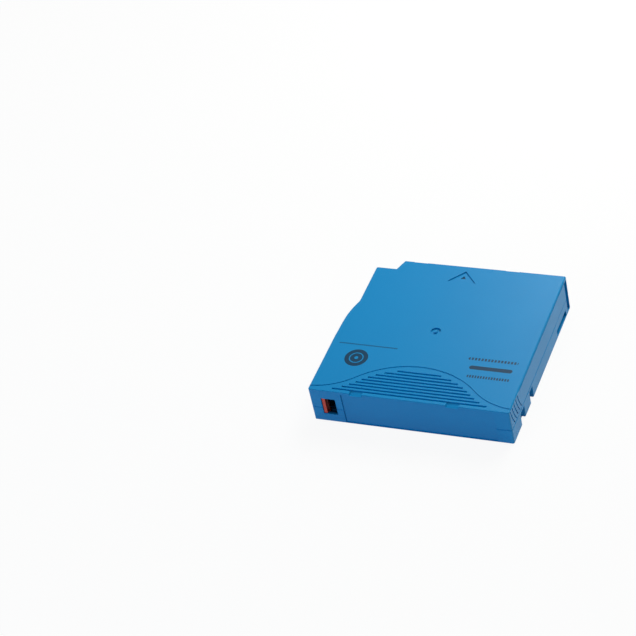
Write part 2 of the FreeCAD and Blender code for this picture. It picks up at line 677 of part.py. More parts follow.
def lower_case():
    """Lower shell: bottom plate with the spindle opening, walls, bosses and low hollows."""
    body = new_body("lower_case")
    shell(body, "0", "seam_height", 0, "plate")
    screw_bosses(body, "plate", "seam_height - plate")
    pin_seat(body, "lower_seat", "plate")
    slider_rails(body, upper=False)
    notches = {
        "rear": (LABEL + " + rear_notch_start", "rear_notch_length", (1, -1)),
        "front": (LABEL + " + front_notch_start", "front_notch_length", (1,)),
    }
    for name, (start, length, sides) in notches.items():
        for side in sides:
            inner = ("case_width / 2 - hand_notch_depth - wall", "case_width / 2 - wall + 0.1")
            if side < 0:
                inner = ("-(%s)" % inner[1], "-(%s)" % inner[0])
            block(body, "%s_backing_%d" % (name, side + 1), *inner,
                  start + " - wall", start + " + %s + wall" % length, "plate", "seam_height - plate")
    block(body, "skirt_backing", RIGHT + " - hollow_depth - wall", RIGHT + " - wall + 0.01",
          SKIRT + " - wall", FRONT + " - wall + 0.1", "plate", "seam_height - plate")
    middle = "(%s + lip + door_gap + door_thickness / 2)" % BAY
    block(body, "spring_seat", middle + " - door_spring_radius - 2 * seat_margin",
          middle + " + door_spring_radius + seat_margin", SPRING_SEAT + " - wall", SPRING_SEAT,
          "plate", "%s / 2 + door_spring_radius + seat_margin + door_wire / 2 - plate" % HEIGHT)
    guide = sketch_on(body, "spring_guide", "XZ", "-(%s)" % SPRING_SEAT)
    circle(guide, bay + s.lip + s.door_gap + s.door_thickness / 2, height / 2, "guide_radius")
    pad(body, guide, "guide_length", reverse=True)

    shared_cuts(body)
    block(body, "label_gap", LEFT + " + label_left", RIGHT + " - label_right", LABEL + " - 1",
          LABEL + " + wall", "label_low", "seam_height", cut=True)
    block(body, "skirt_gap", RIGHT + " - wall", RIGHT + " + 1", SKIRT, CORNER, "skirt_low", "seam_height",
          cut=True)
    block(body, "skirt_hollow", RIGHT + " - hollow_depth", RIGHT + " + 1", SKIRT,
          SKIRT + " + recess_length", "sill", "skirt_low - sill + 0.1", cut=True)
    for name, (start, length, sides) in notches.items():
        for side in sides:
            inner = ("case_width / 2 - hand_notch_depth", "case_width / 2 + 1")
            if side < 0:
                inner = ("-(%s)" % inner[1], "-(%s)" % inner[0])
            block(body, "%s_notch_%d" % (name, side + 1), *inner, start, start + " + " + length,
                  "-1", "hand_notch_top + 1", cut=True)
    opening = sketch_on(body, "spindle_opening", "XY", "plate + 1")
    circle(opening, reel_x, 0, "spindle_radius")
    pocket(body, opening, "plate + 2")
    for number, (x, y) in enumerate(screw_places):
        sink = sketch_on(body, "screw_sink_%d" % number, "XY", "-1")
        circle(sink, x, y, "screw_head + head_gap")
        pocket(body, sink, "screw_sink + screw_head_height + 1", reverse=True)
        hole = sketch_on(body, "screw_hole_%d" % number, "XY", "-1")
        circle(hole, x, y, "screw_radius + screw_gap")
        pocket(body, hole, "seam_height + 2", reverse=True)


# ---------------------------------------------------------------- screws

def case_screws():
    """Four self-tapping screws with cross recesses, put in from below."""
    screw = doc.addObject("PartDesign::Body", "screw")
    profile = sketch_on(screw, "screw_profile", "XZ")
    head_top = s.screw_sink + s.screw_head_height
    end = head_top + s.screw_length
    outline(profile, [
        (0, s.screw_sink), (s.screw_head - s.screw_bevel, s.screw_sink),
        (s.screw_head, s.screw_sink + s.screw_bevel), (s.screw_head, head_top),
        (s.screw_radius, head_top), (s.screw_radius, end - s.screw_point), (0, end),
    ])
    revolve(screw, profile)
    drive = sketch_on(screw, "screw_drive", "XY", "screw_sink - 0.1")
    outline(drive, cross(0, 0, s.screw_cross, s.screw_slot))
    pocket(screw, drive, "screw_head_height * 0.6", reverse=True)
    doc.recompute()
    group = doc.addObject("Part::Feature", "case_screws")
    copies = []
    for x, y in screw_places:
        copy = screw.Shape.copy()
        copy.translate(Vector(x, y, 0))
        copies.append(copy)
    group.Shape = Part.makeCompound(copies)
    nodes.append(group)


# ---------------------------------------------------------------- access door

def access_door():
    """Sliding door in its track, with the tab that a drive pushes and a spring guide."""
    body = new_body("access_door")
    outer = "(%s + lip + door_gap)" % BAY
    block(body, "door_plate", outer, outer + " + door_thickness", DOOR_REAR, NOTCH_EDGE + " - door_gap",
          "plate - track_depth + door_gap", ROOF + " - plate + 2 * track_depth - 2 * door_gap")
    block(body, "door_tab", outer + " - tab_reach", outer, NOTCH_EDGE + " - door_gap - tab_length",
          NOTCH_EDGE + " - door_gap", "%s / 2 - tab_height / 2" % HEIGHT, "tab_height")
    middle = "(%s + door_thickness / 2)" % outer
    reach = "(door_spring_radius + door_wire / 2 - 0.1)"
    block(body, "spring_end", middle + " - " + reach, middle + " + " + reach,
          DOOR_REAR, DOOR_REAR + " + spring_ear", "%s / 2 - %s" % (HEIGHT, reach), "2 * " + reach)
    guide = sketch_on(body, "door_guide", "XZ", "-(%s)" % DOOR_REAR)
    circle(guide, bay + s.lip + s.door_gap + s.door_thickness / 2, height / 2, "guide_radius")
    pad(body, guide, "guide_length")


def coil(name, radius, wire, turns, low, high, place):
    """A compression coil of round wire along its own Z, between two levels."""
    start, end = low + wire / 2 + 0.05, high - wire / 2 - 0.05
    path = Part.makeHelix((end - start) / turns, end - start, radius)
    path.translate(Vector(0, 0, start))
    turns_of = [2 * math.pi * side / s.wire_sides for side in range(int(s.wire_sides) + 1)]
    ring = Part.makePolygon([Vector(radius + wire / 2 * math.cos(a), 0, start + wire / 2 * math.sin(a))
                             for a in turns_of])
    spring = doc.addObject("Part::Feature", name)
    spring.Shape = Part.Wire(path).makePipeShell([ring], True, True)
    spring.Placement = place
    nodes.append(spring)


def springs():
    """The door's return spring along Y and the brake spring under the top plate."""
    rear = bay_start - s.door_overlap
    seat = label + s.door_spring_seat
    middle = bay + s.lip + s.door_gap + s.door_thickness / 2
    along_y = Placement(Vector(middle, 0, height / 2), Rotation(Vector(1, 0, 0), -90))
    coil("door_spring", s.door_spring_radius, s.door_wire, s.door_coils, seat, rear, along_y)
    coil("brake_spring", s.brake_spring_radius, s.brake_wire, s.brake_coils, brake_top, roof, reel_place)


# ---------------------------------------------------------------- leader pin and film

def leader_pin():
    """Turned steel pin with two collars, upright between the plates."""
    body = new_body("leader_pin")
    profile = sketch_on(body, "pin_profile", "XZ")
    low, high = s.plate + 0.05, roof - 0.05
    collar_low, collar_high = low + s.pin_tip_length, high - s.pin_tip_length
    outline(profile, [
        (0, low), (s.pin_tip_radius, low), (s.pin_tip_radius, collar_low),
        (s.pin_collar_radius, collar_low), (s.pin_collar_radius, collar_low + s.pin_collar),
        (s.pin_radius, collar_low + s.pin_collar), (s.pin_radius, collar_high - s.pin_collar),
        (s.pin_collar_radius, collar_high - s.pin_collar), (s.pin_collar_radius, collar_high),
        (s.pin_tip_radius, collar_high), (s.pin_tip_radius, high), (0, high),
    ])
    revolve(body, profile)
    body.Placement = Placement(Vector(pin_x, pin_y, 0), Rotation())


def pin_clip():
    """Springy C-shaped clip that holds the film's end round the pin."""
    body = new_body("pin_clip")
    inner = s.pin_radius + s.clip_gap
    outer = inner + s.clip_wall
    opening = math.radians(50)
    sketch = sketch_on(body, "clip_section", "XY", "plate + reel_float_low + flange + tape_gap")
    near, far = (math.cos(opening), math.sin(opening)), (math.cos(opening), -math.sin(opening))
    outline(sketch, [
        (outer * near[0], outer * near[1]), (outer * far[0], outer * far[1], -outer, 0),
        (inner * far[0], inner * far[1]), (inner * near[0], inner * near[1], -inner, 0),
    ])
    pad(body, sketch, "tape_width")
    body.Placement = Placement(Vector(pin_x, pin_y, 0), Rotation())


def pin_spring():
    """Bent steel strip whose two tongues keep the pin in its seats."""
    body = new_body("pin_spring")
    near = pin_y + s.pin_tip_radius + 0.1
    back = pin_x + s.strip_back
    low = s.plate + s.seat_height + 0.05
    high = roof - s.seat_height - 0.05
    web = sketch_on(body, "strip_web", "XY", "plate + seat_height + 0.05")
    outline(web, [(back, near), (back + s.strip, near),
                  (back + s.strip, near - s.strip_length), (back, near - s.strip_length)])
    pad(body, web, "%.4f" % (high - low))
    bend_x, end_x = pin_x - s.pin_radius, pin_x - s.pin_collar_radius
    for name, level in (("low", low), ("high", high - s.tongue)):
        tongue = sketch_on(body, "tongue_" + name, "XY", "%.4f" % level)
        outline(tongue, [
            (back + s.strip, near), (back + s.strip, near + s.strip), (bend_x, near + s.strip),
            (end_x, near + s.strip + s.tongue_bend), (end_x, near + s.tongue_bend), (bend_x, near),
        ])
        pad(body, tongue, "tongue")


def leader_tape():
    """Film from the clip to where it meets the pack, on edge."""
    body = new_body("leader_tape")
    distance = math.hypot(reel_x - pin_x, pin_y)
    radius = pack_radius + 0.3 + s.film
    to_axis = math.atan2(-pin_y, reel_x - pin_x)
    aim = to_axis - math.asin(radius / distance)
    along = (math.cos(aim), math.sin(aim))
    across = (-along[1], along[0])
    start = s.pin_radius + s.clip_gap + s.clip_wall + 0.05
    end = math.sqrt(distance ** 2 - radius ** 2)
    sketch = sketch_on(body, "film_section", "XY", "plate + reel_float_low + flange + tape_gap")
    corners = [(start, 0), (end, 0), (end, s.film), (start, s.film)]
    outline(sketch, [(pin_x + a * along[0] + b * across[0], pin_y + a * along[1] + b * across[1])
                     for a, b in corners])
    pad(body, sketch, "tape_width")


# ---------------------------------------------------------------- reel

def reel_hub():
    """Hub moulded with the lower flange, drive teeth below and brake teeth above its web."""
    body = new_body("reel_hub")
    inner = s.hub_radius - s.hub_wall
    rim_in = s.spindle_radius + s.rim_overlap
    profile = sketch_on(body, "hub_profile", "XZ")
    outline(profile, [
        (s.web_bore, flange_low), (rim_in, flange_low), (rim_in, s.plate + s.rim_gap),
        (s.hub_radius, s.plate + s.rim_gap), (s.hub_radius + 0.6, flange_low),
        (flange_radius, flange_low + 0.1), (flange_radius, tape_low),
        (s.hub_radius, tape_low), (s.hub_radius, flange_high),
        (inner, flange_high), (inner, web_top), (s.web_bore, web_top),
    ])
    revolve(body, profile)
    drive = sketch_on(body, "drive_tooth", "YZ", "drive_teeth_in")
    outline(drive, tooth(flange_low, -s.drive_tooth, s.drive_teeth_in, s.drive_teeth))
    ring_of(body, pad(body, drive, "drive_teeth_out - drive_teeth_in"), "drive_teeth")
    brake = sketch_on(body, "hub_tooth", "YZ", "brake_in")
    outline(brake, tooth(web_top, s.brake_tooth - s.tooth_gap, s.brake_in, s.brake_teeth))
    ring_of(body, pad(body, brake, "brake_out - brake_in"), "brake_teeth")
    recess = sketch_on(body, "spider_recess", "XY", WEB_TOP)
    circle(recess, 0, 0, "spider_radius + 2 * spider_gap")
    pocket(body, recess, "spider_plate + spider_gap")
    channel = sketch_on(body, "arm_channel", "XY", WEB_TOP + " + brake_tooth")
    rectangle(channel, "spider_radius - 1", "drive_teeth_out + 2 * spider_gap",
              "-spider_arm / 2 - 2 * spider_gap", "spider_arm / 2 + 2 * spider_gap")
    ring_of(body, pocket(body, channel, "brake_tooth + spider_plate + spider_gap"), "3")
    foot = sketch_on(body, "foot_hole", "XY", WEB_TOP + " + 0.1")
    rectangle(foot, "drive_teeth_in", "drive_teeth_out + 2 * spider_gap",
              "-spider_arm / 2 - 2 * spider_gap", "spider_arm / 2 + 2 * spider_gap")
    ring_of(body, pocket(body, foot, "web + drive_tooth + 1"), "3")
    body.Placement = half_tooth


def tooth(root, rise, radius, count):
    """Section of a face tooth: a trapezium that leaves room for its opposite number."""
    pitch = 2 * math.pi * radius / count
    foot, tip = 0.5 * pitch, 0.22 * pitch
    sunk = root - math.copysign(0.1, rise)
    return [(-foot / 2, sunk), (foot / 2, sunk), (foot / 2, root), (tip / 2, root + rise),
            (-tip / 2, root + rise), (-foot / 2, root)]


def upper_flange():
    """Upper flange, welded to the top of the hub."""
    body = new_body("upper_flange")
    profile = sketch_on(body, "flange_profile", "XZ")
    inner = s.hub_radius - s.hub_wall
    top = flange_high + s.flange
    outline(profile, [
        (inner, flange_high), (flange_radius, flange_high), (flange_radius, top - 0.1),
        (s.hub_radius + 1.5, top), (s.hub_radius + 0.9, top + 0.5), (inner, top + 0.5),
    ])
    revolve(body, profile)
    body.Placement = reel_place


def ring_of_section(name, points, place):
    """A body turned from one closed section."""
    body = new_body(name)
    profile = sketch_on(body, name + "_section", "XZ")
    outline(profile, points)
    revolve(body, profile)
    body.Placement = place
    return body


def hub_ring():
    """Metal ring inside the hub that takes the squeeze of the wound tape."""
    outer = s.hub_radius - s.hub_wall - s.ring_gap
    inner = outer - s.ring_wall
    low, high = web_top + 1.2, flange_high - 0.8
    ring_of_section("hub_ring", [(inner, low), (outer, low), (outer, high), (inner, high)], reel_place)


def tape_pack():
    """The wound tape, all its turns as one solid."""
    low, high = tape_low + s.tape_gap, flange_high - s.tape_gap
    inner = s.hub_radius + 0.05
    section = [(inner, low), (pack_radius, low), (pack_radius, high), (inner, high)]
    ring_of_section("tape_pack", section, reel_place)


def clutch_plate():
    """Steel plate under the web, which the drive's magnet pulls on."""
    low = flange_low - s.clutch_plate_thickness
    points = [(s.clutch_in, low), (s.clutch_out - 0.2, low), (s.clutch_out, low + 0.2),
              (s.clutch_out, flange_low), (s.clutch_in, flange_low)]
    body = ring_of_section("clutch_plate", points, half_tooth)
    hole = sketch_on(body, "stake_hole", "XY", WEB_LOW + " + 0.1")
    number = circle(hole, 0, 0, "0.8")
    bind(hole, "DistanceX", (-1, 1, number, 3), "(clutch_in + clutch_out) / 2")
    ring_of(body, pocket(body, hole, "clutch_plate_thickness + 0.2"), "3")


# ---------------------------------------------------------------- brake

def brake_button():
    """Toothed brake disc with a sleeve that slides on the cross key."""
    body = new_body("brake_button")
    disc = sketch_on(body, "brake_disc_plan", "XY", BRAKE_LOW)
    circle(disc, 0, 0, "brake_disc")
    pad(body, disc, "brake_plate")
    sleeve = sketch_on(body, "brake_sleeve", "XY", BRAKE_LOW + " + brake_plate - 0.1")
    circle(sleeve, 0, 0, "socket_radius")
    pad(body, sleeve, "socket_height + 0.1")
    foot = sketch_on(body, "brake_foot", "XY", BRAKE_LOW + " + 0.1")
    circle(foot, 0, 0, "socket_radius - 1.2")
    pad(body, foot, "tooth_gap + brake_tooth - spider_gap + 0.1", reverse=True)
    teeth = sketch_on(body, "brake_tooth_section", "YZ", "brake_in")
    outline(teeth, tooth(brake_low, -s.brake_tooth, s.brake_in, s.brake_teeth))
    ring_of(body, pad(body, teeth, "brake_out - brake_in"), "brake_teeth")
    socket = sketch_on(body, "brake_socket", "XY", BRAKE_LOW + " + brake_plate + socket_height")
    outline(socket, cross(0, 0, s.key_span + 2 * s.key_gap, s.key_rib + 2 * s.key_gap))
    pocket(body, socket, "key_reach + brake_lift + key_gap")
    body.Placement = reel_place


def release_spider():
    """Three-legged spider that lifts the brake when a drive's spindle pushes its feet."""
    body = new_body("release_spider")
    level = WEB_TOP + " - spider_plate"
    middle = sketch_on(body, "spider_middle", "XY", level)
    circle(middle, 0, 0, "spider_radius")
    pad(body, middle, "spider_plate")
    arm = sketch_on(body, "spider_arm_plan", "XY", level)
    rectangle(arm, "spider_radius - 1", "drive_teeth_out - spider_gap", "-spider_arm / 2", "spider_arm / 2")
    ring_of(body, pad(body, arm, "spider_plate"), "3")
    foot = sketch_on(body, "spider_foot", "XY", level + " + 0.1")
    rectangle(foot, "drive_teeth_in + spider_gap", "drive_teeth_out - spider_gap",
              "-spider_arm / 2", "spider_arm / 2")
    ring_of(body, pad(body, foot, "foot_length + 0.1", reverse=True), "3")
    body.Placement = half_tooth


# ---------------------------------------------------------------- slider and memory

def write_protect_slider():
    """Sliding tab behind the window, with the upstand that a finger moves."""
    body = new_body("write_protect_slider")
    x = "(%s + window_left - slider_overlap)" % LEFT
    y = "(%s + wall + slider_gap)" % LABEL
    block(body, "slider_plate", x, x + " + slider_width", y, y + " + slider_thickness",
          "window_low - slider_margin", "window_rise + 2 * slider_margin")
    block(body, "slider_thumb", x + " + slider_overlap + thumb_inset",
          x + " + slider_overlap + thumb_inset + thumb_width", LABEL + " + 0.4", y + " + 0.1",
          "window_low + slider_gap", "window_rise - 2 * slider_gap")


def memory():
    """Small board on edge across the rear right corner, with a chip on its inner face."""
    middle = Vector(right - s.board_inset, label + s.board_inset, s.plate)
    across = Rotation(Vector(0, 0, 1), 45)
    board = doc.addObject("Part::Box", "memory_board")
    board.setExpression("Length", bound("board_length"))
    board.setExpression("Width", bound("board_thickness"))
    board.setExpression("Height", bound("board_height"))
    board.Placement = Placement(middle + across.multVec(Vector(-s.board_length / 2, 0, 0)), across)
    chip = doc.addObject("Part::Box", "memory_chip")
    chip.setExpression("Length", bound("chip_size"))
    chip.setExpression("Width", bound("chip_height"))
    chip.setExpression("Height", bound("chip_size"))
    at = Vector(-s.chip_size / 2, s.board_thickness, (s.board_height - s.chip_size) / 2)
    chip.Placement = Placement(middle + across.multVec(at), across)
    nodes.extend([board, chip])


# ---------------------------------------------------------------- the whole

upper_case()
lower_case()
case_screws()
access_door()
springs()
leader_pin()
pin_clip()
pin_spring()
leader_tape()
reel_hub()
hub_ring()
upper_flange()
clutch_plate()
tape_pack()
brake_button()
release_spider()
write_protect_slider()
memory()
doc.recompute()

for item in doc.Objects:
    if {"Invalid", "Error"} & set(item.State):
        raise RuntimeError("%s did not build: %s" % (item.Name, item.State))
for node in nodes:
    if node.Shape.isNull() or not node.Shape.isValid():
        raise RuntimeError("%s has no valid shape" % node.Label)

os.makedirs("parts", exist_ok=True)
for node in nodes:
    node.Shape.exportStep("parts/%s.step" % node.Label)
    print("%-22s solids %d  volume %9.2f" % (node.Label, len(node.Shape.Solids), node.Shape.Volume))
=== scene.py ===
import math

import bpy
from mathutils import Matrix, Quaternion, Vector


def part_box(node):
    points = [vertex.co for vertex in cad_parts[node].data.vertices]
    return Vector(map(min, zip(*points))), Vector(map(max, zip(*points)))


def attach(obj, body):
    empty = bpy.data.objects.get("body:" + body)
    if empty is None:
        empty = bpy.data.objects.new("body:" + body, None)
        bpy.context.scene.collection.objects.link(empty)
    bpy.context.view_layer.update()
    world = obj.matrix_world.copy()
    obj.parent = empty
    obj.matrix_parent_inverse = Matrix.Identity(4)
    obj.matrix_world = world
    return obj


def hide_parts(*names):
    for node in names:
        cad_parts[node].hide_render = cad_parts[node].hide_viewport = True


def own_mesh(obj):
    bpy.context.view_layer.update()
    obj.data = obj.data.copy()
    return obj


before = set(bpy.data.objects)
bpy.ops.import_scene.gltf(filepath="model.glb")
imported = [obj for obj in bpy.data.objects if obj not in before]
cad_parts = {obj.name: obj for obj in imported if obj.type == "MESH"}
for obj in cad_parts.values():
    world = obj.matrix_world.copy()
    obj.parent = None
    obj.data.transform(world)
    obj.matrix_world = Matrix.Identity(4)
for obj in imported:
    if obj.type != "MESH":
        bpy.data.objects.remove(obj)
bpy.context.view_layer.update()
scene = bpy.context.scene
bpy.ops.object.select_all(action="DESELECT")


# ---------------------------------------------------------------- the two case shells
# Upper and lower shell, moulded in one blue ABS, screwed together from below. The mould is
# spark-eroded to a fine matt skin, and polished where the label is stuck on. The ink on the
# top plate is pad-printed.

MM = 0.001


class Signal:
    """One value inside a material. Arithmetic on it adds the Math nodes that work it out."""

    def __init__(self, paint, socket):
        self.paint, self.socket = paint, socket

    def __add__(self, other):
        return self.paint.math("ADD", self, other)

    __radd__ = __add__

    def __sub__(self, other):
        return self.paint.math("SUBTRACT", self, other)

    def __rsub__(self, other):
        return self.paint.math("SUBTRACT", other, self)

    def __mul__(self, other):
        return self.paint.math("MULTIPLY", self, other)

    __rmul__ = __mul__

    def __truediv__(self, other):
        return self.paint.math("DIVIDE", self, other)

    def __abs__(self):
        return self.paint.math("ABSOLUTE", self)

    def __lt__(self, other):
        return self.paint.math("LESS_THAN", self, other)

    def __gt__(self, other):
        return self.paint.math("GREATER_THAN", self, other)


class Paint:
    """A material being mixed. Its node method adds any node there is."""

    def __init__(self, name):
        self.material = bpy.data.materials.new(name)
        self.material.use_nodes = True
        self.tree = self.material.node_tree
        self.tree.nodes.clear()

    def node(self, kind, settings, sockets):
        """Adds a node and returns its outputs by identifier. Sockets go by identifier or number."""
        made = self.tree.nodes.new(kind)
        for name, value in settings.items():
            setattr(made, name, value)
        for key, value in sockets.items():
            if isinstance(key, int):
                socket = made.inputs[key]
            else:
                socket = next(s for s in made.inputs if s.identifier == key)
            if isinstance(value, Signal):
                self.tree.links.new(value.socket, socket)
            else:
                socket.default_value = value
        return {output.identifier: Signal(self, output) for output in made.outputs}

    def math(self, operation, *values):
        """One Math node, for what Python has no operator for."""
        sockets = dict(enumerate(values))
        return self.node("ShaderNodeMath", {"operation": operation}, sockets)["Value"]

    def split(self, vector):
        """The three parts of a vector."""
        parts = self.node("ShaderNodeSeparateXYZ", {}, {"Vector": vector})
        return parts["X"], parts["Y"], parts["Z"]

    def place(self):
        """The object coordinates in metres: the vector and its three parts."""
        vector = self.node("ShaderNodeTexCoord", {}, {})["Object"]
        return (vector, *self.split(vector))

    def noise(self, vector, size, detail=2.0):
        """Noise from 0 to 1 whose blotches are about that size in metres."""
        return self.node("ShaderNodeTexNoise", {},
                         {"Vector": vector, "Scale": 1 / size, "Detail": detail})["Fac"]

    def tint(self, mask, first, second):
        """The first colour where the mask is 0 and the second where it is 1."""
        sockets = {"Factor_Float": mask, "A_Color": first, "B_Color": second}
        return self.node("ShaderNodeMix", {"data_type": "RGBA"}, sockets)["Result_Color"]

    def relief(self, height, depth):
        """A normal for a relief that is depth metres from 0 to 1."""
        return self.node("ShaderNodeBump", {},
                         {"Height": height, "Strength": 1.0, "Distance": depth})["Normal"]

    def finish(self, **looks):
        """Ends the material in one Principled shader. Looks are its sockets, with _ for a space."""
        sockets = {name.replace("_", " "): value for name, value in looks.items()}
        shader = self.node("ShaderNodeBsdfPrincipled", {}, sockets)["BSDF"]
        self.node("ShaderNodeOutputMaterial", {}, {"Surface": shader})
        return self.material


def colour(red, green, blue):
    """A colour given in levels from 0 to 255, as the shader wants it."""
    def linear(level):
        level /= 255
        return level / 12.92 if level <= 0.04045 else ((level + 0.055) / 1.055) ** 2.4
    return (linear(red), linear(green), linear(blue), 1.0)


def coat_nodes(material, *names):
    """Gives CAD nodes that material."""
    for name in names:
        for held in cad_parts[name].material_slots:
            held.material = material


CASE_BLUE = colour(2, 134, 195)
CASE_BLUE_DEEP = colour(0, 127, 188)
CASE_SPECKLE = colour(16, 146, 205)
CASE_INK = colour(14, 46, 68)
CASE_PAINTED_SHADE = colour(8, 22, 34)  # painted shade on the plastic deep in the write-protect window
CLOUD_SIZE = 30 * MM  # where the blue drifts a little
GRAIN_SIZE, GRAIN_DEPTH = 0.42 * MM, 0.018 * MM  # of the eroded skin
GRAIN_SPECKLE = 0.16  # how much the grain pales the blue
LABEL_PANEL = (0.2 * MM, 0.8 * MM)  # the label panel lies this far behind the label face
LABEL_POLISH = 0.7  # how much of the grain is polished away on it
PAD_REACH, PAD_REACH_IN_ARROW = 0.1 * MM, 1.6 * MM  # how far below the top plate ink gets
FLAT_UP = 0.9  # how far up a face has to look to take ink
INK_COVER, PAINTED_SHADE_COVER = 0.9, 0.9
INK_BARS = [  # x from, x to, middle in y, height and dash pitch of each printed bar, in mm
    (-48.2, -16.8, -15.7, 0.8, 1.1),
    (21.4, 47.4, -16.8, 1.8, 1.7),
    (23.6, 46.0, -22.9, 2.6, 0.0),
    (24.2, 46.4, -29.2, 1.8, 1.4),
]
INK_DASH_SHARE = 0.62  # how much of a dash pitch is inked
INK_REEL = (-35.7, -25.4)  # middle of the printed reel sign, in mm
INK_REEL_RADIUS = 6.1
INK_REEL_GROOVE = (3.5, 0.28)  # radius and half the width of the bare ring in it
INK_REEL_BORE = 1.0
INK_MARK = (41.5, 43.7, 0.67)  # foot and tip of the small triangle, half width per length


def ink_on_top(paint, x, y):
    """Mask of the printed bars and of the reel sign."""
    ink = 0.0
    for left, right, middle, height, dash in INK_BARS:
        half = height / 2
        past_middle = abs(x - (left + right) / 2 * MM)
        along = paint.math("MAXIMUM", past_middle - ((right - left) / 2 - half) * MM, 0.0)
        across = abs(y - middle * MM)
        bar = paint.math("SQRT", along * along + across * across) < half * MM
        if dash:
            bar = bar * (paint.math("FRACT", (x - left * MM) / (dash * MM)) < INK_DASH_SHARE)
        ink = ink + bar
    from_left, from_front = x - INK_REEL[0] * MM, y - INK_REEL[1] * MM
    radius = paint.math("SQRT", from_left * from_left + from_front * from_front)
    groove = abs(radius - INK_REEL_GROOVE[0] * MM) < INK_REEL_GROOVE[1] * MM
    sign = (radius < INK_REEL_RADIUS * MM) * (radius > INK_REEL_BORE * MM) * (1 - groove)
    return paint.math("MINIMUM", ink + sign, 1.0)


def ink_in_arrow(x, y):
    """Mask of the small triangle in the insertion arrow."""
    foot, tip, flare = INK_MARK
    return (y > foot * MM) * (abs(x) < (tip * MM - y) * flare)


WINDOW = (-43.05, 10.4, 6.0, 6.6)  # middle and half size of the write-protect window, in mm
WINDOW_PAINTED_SHADE = (0.2, 1.6, 12.0)  # where the painted shade in it starts, over what depth, and its end, in mm


def deep_in_window(paint, x, y, z, front):
    """How deep a point lies in the write-protect window: 0 at the face, 1 where the painted shade
    is full.
    """
    middle_x, middle_z, half_width, half_height = (size * MM for size in WINDOW)
    start, fade, end = (size * MM for size in WINDOW_PAINTED_SHADE)
    near = (abs(x - middle_x) < half_width) * (abs(z - middle_z) < half_height)
    depth = paint.math("MAXIMUM", (y - front - start) / fade, 0.0)
    return near * paint.math("MINIMUM", depth, 1.0) * (y < front + end)


def case_plastic():
    paint = Paint("case_blue_plastic")
    place, x, y, z = paint.place()
    cloud = paint.noise(place, CLOUD_SIZE)
    grain = paint.noise(place, GRAIN_SIZE, detail=3.0)
    low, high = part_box("upper_case")
    front, top = low.y, high.z
    panel_from, panel_to = LABEL_PANEL
    on_label = (y < front + panel_to) * (y > front + panel_from)
    up = paint.split(paint.node("ShaderNodeNewGeometry", {}, {})["Normal"])[2]
    printed = (ink_on_top(paint, x, y) * (z > top - PAD_REACH)
               + ink_in_arrow(x, y) * (z > top - PAD_REACH_IN_ARROW)) * (up > FLAT_UP)
    skin = paint.tint(cloud, CASE_BLUE, CASE_BLUE_DEEP)
    speckled = paint.tint(grain * GRAIN_SPECKLE, skin, CASE_SPECKLE)
    inked = paint.tint(printed * INK_COVER, speckled, CASE_INK)
    # Painted shade: the plastic is painted darker the deeper it lies in the write-protect window.
    window_shade = deep_in_window(paint, x, y, z, front) * PAINTED_SHADE_COVER
    return paint.finish(
        Base_Color=paint.tint(window_shade, inked, CASE_PAINTED_SHADE),
        Roughness=0.33 + cloud * 0.05 + grain * 0.07 - on_label * 0.06,
        Specular_IOR_Level=0.22,
        Normal=paint.relief(grain * (1 - on_label * LABEL_POLISH), GRAIN_DEPTH),
    )


coat_nodes(case_plastic(), "upper_case", "lower_case")


# ---------------------------------------------------------------- case screws
# Four self-tapping screws of zinc-plated steel, driven up from the underside into bosses of
# the upper shell. The zinc is bright, with fine turning marks round each head.

HAZE_SIZE = 4 * MM  # dull patches on bare metal
MARK_DEPTH = 0.004 * MM


def bright_steel(name, tone, roughness, mark_size, stretch):
    """Metal with drawn or turned marks: noise squeezed along the axes of a large stretch."""
    paint = Paint(name)
    place = paint.place()[0]
    drawn = paint.node("ShaderNodeMapping", {}, {"Vector": place, "Scale": stretch})["Vector"]
    marks = paint.noise(drawn, mark_size, detail=4.0)
    haze = paint.noise(place, HAZE_SIZE)
    dark = tuple(level * 0.82 for level in tone[:3]) + (1.0,)
    return paint.finish(
        Base_Color=paint.tint(marks, dark, tone), Metallic=1.0,
        Roughness=roughness + marks * 0.12 + haze * 0.08,
        Normal=paint.relief(marks, MARK_DEPTH),
    )


screw_zinc = bright_steel("screw_zinc", colour(196, 198, 196), roughness=0.24,
                          mark_size=0.3 * MM, stretch=(1.0, 1.0, 6.0))
coat_nodes(screw_zinc, "case_screws")


# ---------------------------------------------------------------- access door
# Sliding door over the opening in the left side, near the end that goes into a drive. It is
# moulded in charcoal plastic with some slip agent, so that it runs dry in its track.

MOTTLE_SIZE, FINE_GRAIN_SIZE = 12 * MM, 0.3 * MM


def moulded(name, tone, roughness, mottle, grain_depth, specular=0.4):
    """Moulded plastic of one colour with a matt skin."""
    paint = Paint(name)
    place = paint.place()[0]
    cloud = paint.noise(place, MOTTLE_SIZE)
    grain = paint.noise(place, FINE_GRAIN_SIZE, detail=3.0)
    lighter = tuple(level + (1 - level) * mottle for level in tone[:3]) + (1.0,)
    return paint.finish(
        Base_Color=paint.tint(cloud * 0.6 + grain * 0.4, tone, lighter),
        Roughness=roughness + cloud * 0.06 + grain * 0.06,
        Specular_IOR_Level=specular,
        Normal=paint.relief(grain, grain_depth),
    )


door_charcoal = moulded("door_charcoal", colour(70, 74, 80), roughness=0.42, mottle=0.05,
                        grain_depth=0.015 * MM)
coat_nodes(door_charcoal, "access_door")


# ---------------------------------------------------------------- door spring and brake spring
# Coils of drawn music wire. Each has a dead turn at both ends, so that it stands square on its
# seat. The long one shuts the door, the wide one holds the brake down on the reel.

WIRE_SIDES = 12  # flats round the wire
TURN_STEPS = 28  # steps in a turn
JOIN_SHARE = 0.005  # ends of turns nearer than this share of the wire are joined
DOOR_WIRE, DOOR_TURNS, DOOR_TRAVEL = 0.3 * MM, 13, 20.0 * MM
BRAKE_WIRE, BRAKE_TURNS, BRAKE_TRAVEL = 0.8 * MM, 3, 1.5 * MM
Y_AXIS, Z_AXIS = 1, 2


